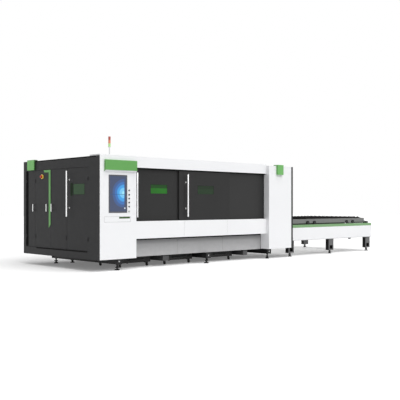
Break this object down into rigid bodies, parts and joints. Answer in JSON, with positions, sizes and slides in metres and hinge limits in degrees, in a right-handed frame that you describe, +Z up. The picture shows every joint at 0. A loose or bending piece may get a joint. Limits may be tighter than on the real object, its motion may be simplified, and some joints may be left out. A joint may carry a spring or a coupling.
{
  "type": "fiber laser cutting machine",
  "caption": "Enclosed sheet-metal laser cutting machine with sliding front doors, control cabinet, side cabinet doors and a two-level pallet exchange table.",
  "frame": {"origin": "middle of the footprint of the whole machine, on the floor", "axes": "+X along the machine towards the exchange table, +Y to the rear, -Y is the front with the doors, +Z up"},
  "size_m": [9.049, 2.826, 2.49],
  "materials": {
    "white_paint": "satin powder coat",
    "dark_paint": "fine matt powder coat",
    "green_paint": "satin powder coat",
    "grey_paint": "satin powder coat",
    "black_paint": "matt paint",
    "bright_steel": "ground steel",
    "dark_steel": "burnt and blackened steel",
    "cast_aluminium": "machined",
    "screen_glass": "lit display",
    "bezel_plastic": "fine grain",
    "window_glass": "dark green laser-safe pane",
    "red_plastic": "clear moulded lens",
    "amber_plastic": "clear moulded lens",
    "green_plastic": "clear moulded lens",
    "button_plastic": "polished",
    "button_light": "polished"
  },
  "bodies": {
    "machine": {"bed_frame": "black_paint", "guide_rails": "bright_steel", "levelling_feet": "black_paint", "left_end_frame": "dark_paint", "right_end_frame": "dark_paint", "rear_panels": "white_paint", "roof_panel": "white_paint", "front_panels": "white_paint", "skirt_panels": "grey_paint", "fixed_front_panel": "dark_paint", "door_tracks": "cast_aluminium", "control_cabinet": "white_paint", "cabinet_fascia": "green_paint", "monitor_housing": "bezel_plastic", "monitor_screen": "screen_glass", "right_column": "white_paint", "corner_blocks": "green_paint", "chamber_partition": "dark_paint", "electrical_backplate": "bright_steel", "laser_source": "grey_paint", "signal_light_pole": "cast_aluminium", "green_lens": "green_plastic", "amber_lens": "amber_plastic", "red_lens": "red_plastic", "table_frame": "grey_paint", "table_side_panels": "white_paint", "table_rails": "green_paint", "drive_chains": "black_paint"},
    "left_sliding_door": {"left_sliding_door": "dark_paint", "left_door_window": "window_glass", "left_door_handle": "white_paint"},
    "right_sliding_door": {"right_sliding_door": "dark_paint", "right_door_window": "window_glass", "right_door_handle": "white_paint"},
    "service_door": {"service_door": "dark_paint", "service_door_window": "window_glass"},
    "right_cabinet_door": {"right_cabinet_door": "dark_paint"},
    "left_cabinet_door": {"left_cabinet_door": "dark_paint", "green_trim_strip": "green_paint"},
    "narrow_door": {"narrow_door": "dark_paint"},
    "emergency_stop": {"emergency_stop": "red_plastic"},
    "portal": {"portal_beam": "cast_aluminium"},
    "carriage": {"cross_carriage": "cast_aluminium"},
    "head": {"cutting_head": "cast_aluminium"},
    "drawer": {"keyboard_drawer": "white_paint", "keyboard": "black_paint"},
    "upper_pallet": {"upper_pallet_frame": "grey_paint", "upper_pallet_slats": "dark_steel"},
    "lower_pallet": {"lower_pallet_frame": "grey_paint", "lower_pallet_slats": "dark_steel"},
    "drive_shaft": {"drive_shaft": "black_paint"},
    "push_button_1": {"push_button_1": "button_plastic"},
    "push_button_2": {"push_button_2": "button_plastic"},
    "push_button_3": {"push_button_3": "button_plastic"},
    "push_button_4": {"push_button_4": "button_plastic"},
    "push_button_5": {"push_button_5": "button_plastic"},
    "push_button_6": {"push_button_6": "button_light"},
    "scrap_tray_1": {"scrap_tray_1": "dark_steel"},
    "scrap_tray_2": {"scrap_tray_2": "dark_steel"},
    "scrap_tray_3": {"scrap_tray_3": "dark_steel"}
  },
  "joints": [
    {"name": "left_sliding_door_slide", "type": "slide", "parent": "machine", "child": "left_sliding_door", "axis": [1, 0, 0], "range_m": [0, 1.04]},
    {"name": "right_sliding_door_slide", "type": "slide", "parent": "machine", "child": "right_sliding_door", "axis": [1, 0, 0], "range_m": [0, 1.1]},
    {"name": "service_door_hinge", "type": "hinge", "parent": "machine", "child": "service_door", "pos_m": [-4.4618, -1.047, 1.1425], "axis": [0, 0, 1], "range_deg": [0, 100]},
    {"name": "right_cabinet_door_hinge", "type": "hinge", "parent": "machine", "child": "right_cabinet_door", "pos_m": [-4.4518, -0.303, 1.1425], "axis": [0, 0, 1], "range_deg": [0, 100]},
    {"name": "left_cabinet_door_hinge", "type": "hinge", "parent": "machine", "child": "left_cabinet_door", "pos_m": [-4.4518, 0.836, 1.1425], "axis": [0, 0, -1], "range_deg": [0, 100]},
    {"name": "narrow_door_hinge", "type": "hinge", "parent": "machine", "child": "narrow_door", "pos_m": [-4.4618, 1.171, 1.1425], "axis": [0, 0, -1], "range_deg": [0, 100]},
    {"name": "emergency_stop_press", "type": "slide", "parent": "left_cabinet_door", "child": "emergency_stop", "axis": [1, 0, 0], "range_m": [0, 0.005]},
    {"name": "portal_slide", "type": "slide", "parent": "machine", "child": "portal", "axis": [1, 0, 0], "range_m": [0, 3.05]},
    {"name": "carriage_slide", "type": "slide", "parent": "portal", "child": "carriage", "axis": [0, 1, 0], "range_m": [0, 1.45]},
    {"name": "head_slide", "type": "slide", "parent": "carriage", "child": "head", "axis": [0, 0, -1], "range_m": [0, 0.1]},
    {"name": "drawer_slide", "type": "slide", "parent": "machine", "child": "drawer", "axis": [0, -1, 0], "range_m": [0, 0.22]},
    {"name": "upper_pallet_slide", "type": "slide", "parent": "machine", "child": "upper_pallet", "axis": [-1, 0, 0], "range_m": [0, 4.35]},
    {"name": "lower_pallet_slide", "type": "slide", "parent": "machine", "child": "lower_pallet", "axis": [1, 0, 0], "range_m": [0, 4.35]},
    {"name": "drive_shaft_spin", "type": "hinge", "parent": "machine", "child": "drive_shaft", "pos_m": [4.4415, -0.115, 0.695], "axis": [0, -1, 0], "range_deg": [0, 4090.8]},
    {"name": "push_button_1_press", "type": "slide", "parent": "machine", "child": "push_button_1", "axis": [0, 1, 0], "range_m": [0, 0.003], "stiffness_N_per_m": 1500},
    {"name": "push_button_2_press", "type": "slide", "parent": "machine", "child": "push_button_2", "axis": [0, 1, 0], "range_m": [0, 0.003], "stiffness_N_per_m": 1500},
    {"name": "push_button_3_press", "type": "slide", "parent": "machine", "child": "push_button_3", "axis": [0, 1, 0], "range_m": [0, 0.003], "stiffness_N_per_m": 1500},
    {"name": "push_button_4_press", "type": "slide", "parent": "machine", "child": "push_button_4", "axis": [0, 1, 0], "range_m": [0, 0.003], "stiffness_N_per_m": 1500},
    {"name": "push_button_5_press", "type": "slide", "parent": "machine", "child": "push_button_5", "axis": [0, 1, 0], "range_m": [0, 0.003], "stiffness_N_per_m": 1500},
    {"name": "push_button_6_press", "type": "slide", "parent": "machine", "child": "push_button_6", "axis": [0, 1, 0], "range_m": [0, 0.003], "stiffness_N_per_m": 1500},
    {"name": "scrap_tray_1_slide", "type": "slide", "parent": "machine", "child": "scrap_tray_1", "axis": [0, -1, 0], "range_m": [0, 1]},
    {"name": "scrap_tray_2_slide", "type": "slide", "parent": "machine", "child": "scrap_tray_2", "axis": [0, -1, 0], "range_m": [0, 1]},
    {"name": "scrap_tray_3_slide", "type": "slide", "parent": "machine", "child": "scrap_tray_3", "axis": [0, -1, 0], "range_m": [0, 1]}
  ],
  "couplings": [
    {"joint": "lower_pallet_slide", "follows": "upper_pallet_slide", "ratio": 1},
    {"joint": "drive_shaft_spin", "follows": "upper_pallet_slide", "rad_per_m": 16.393}
  ]
}
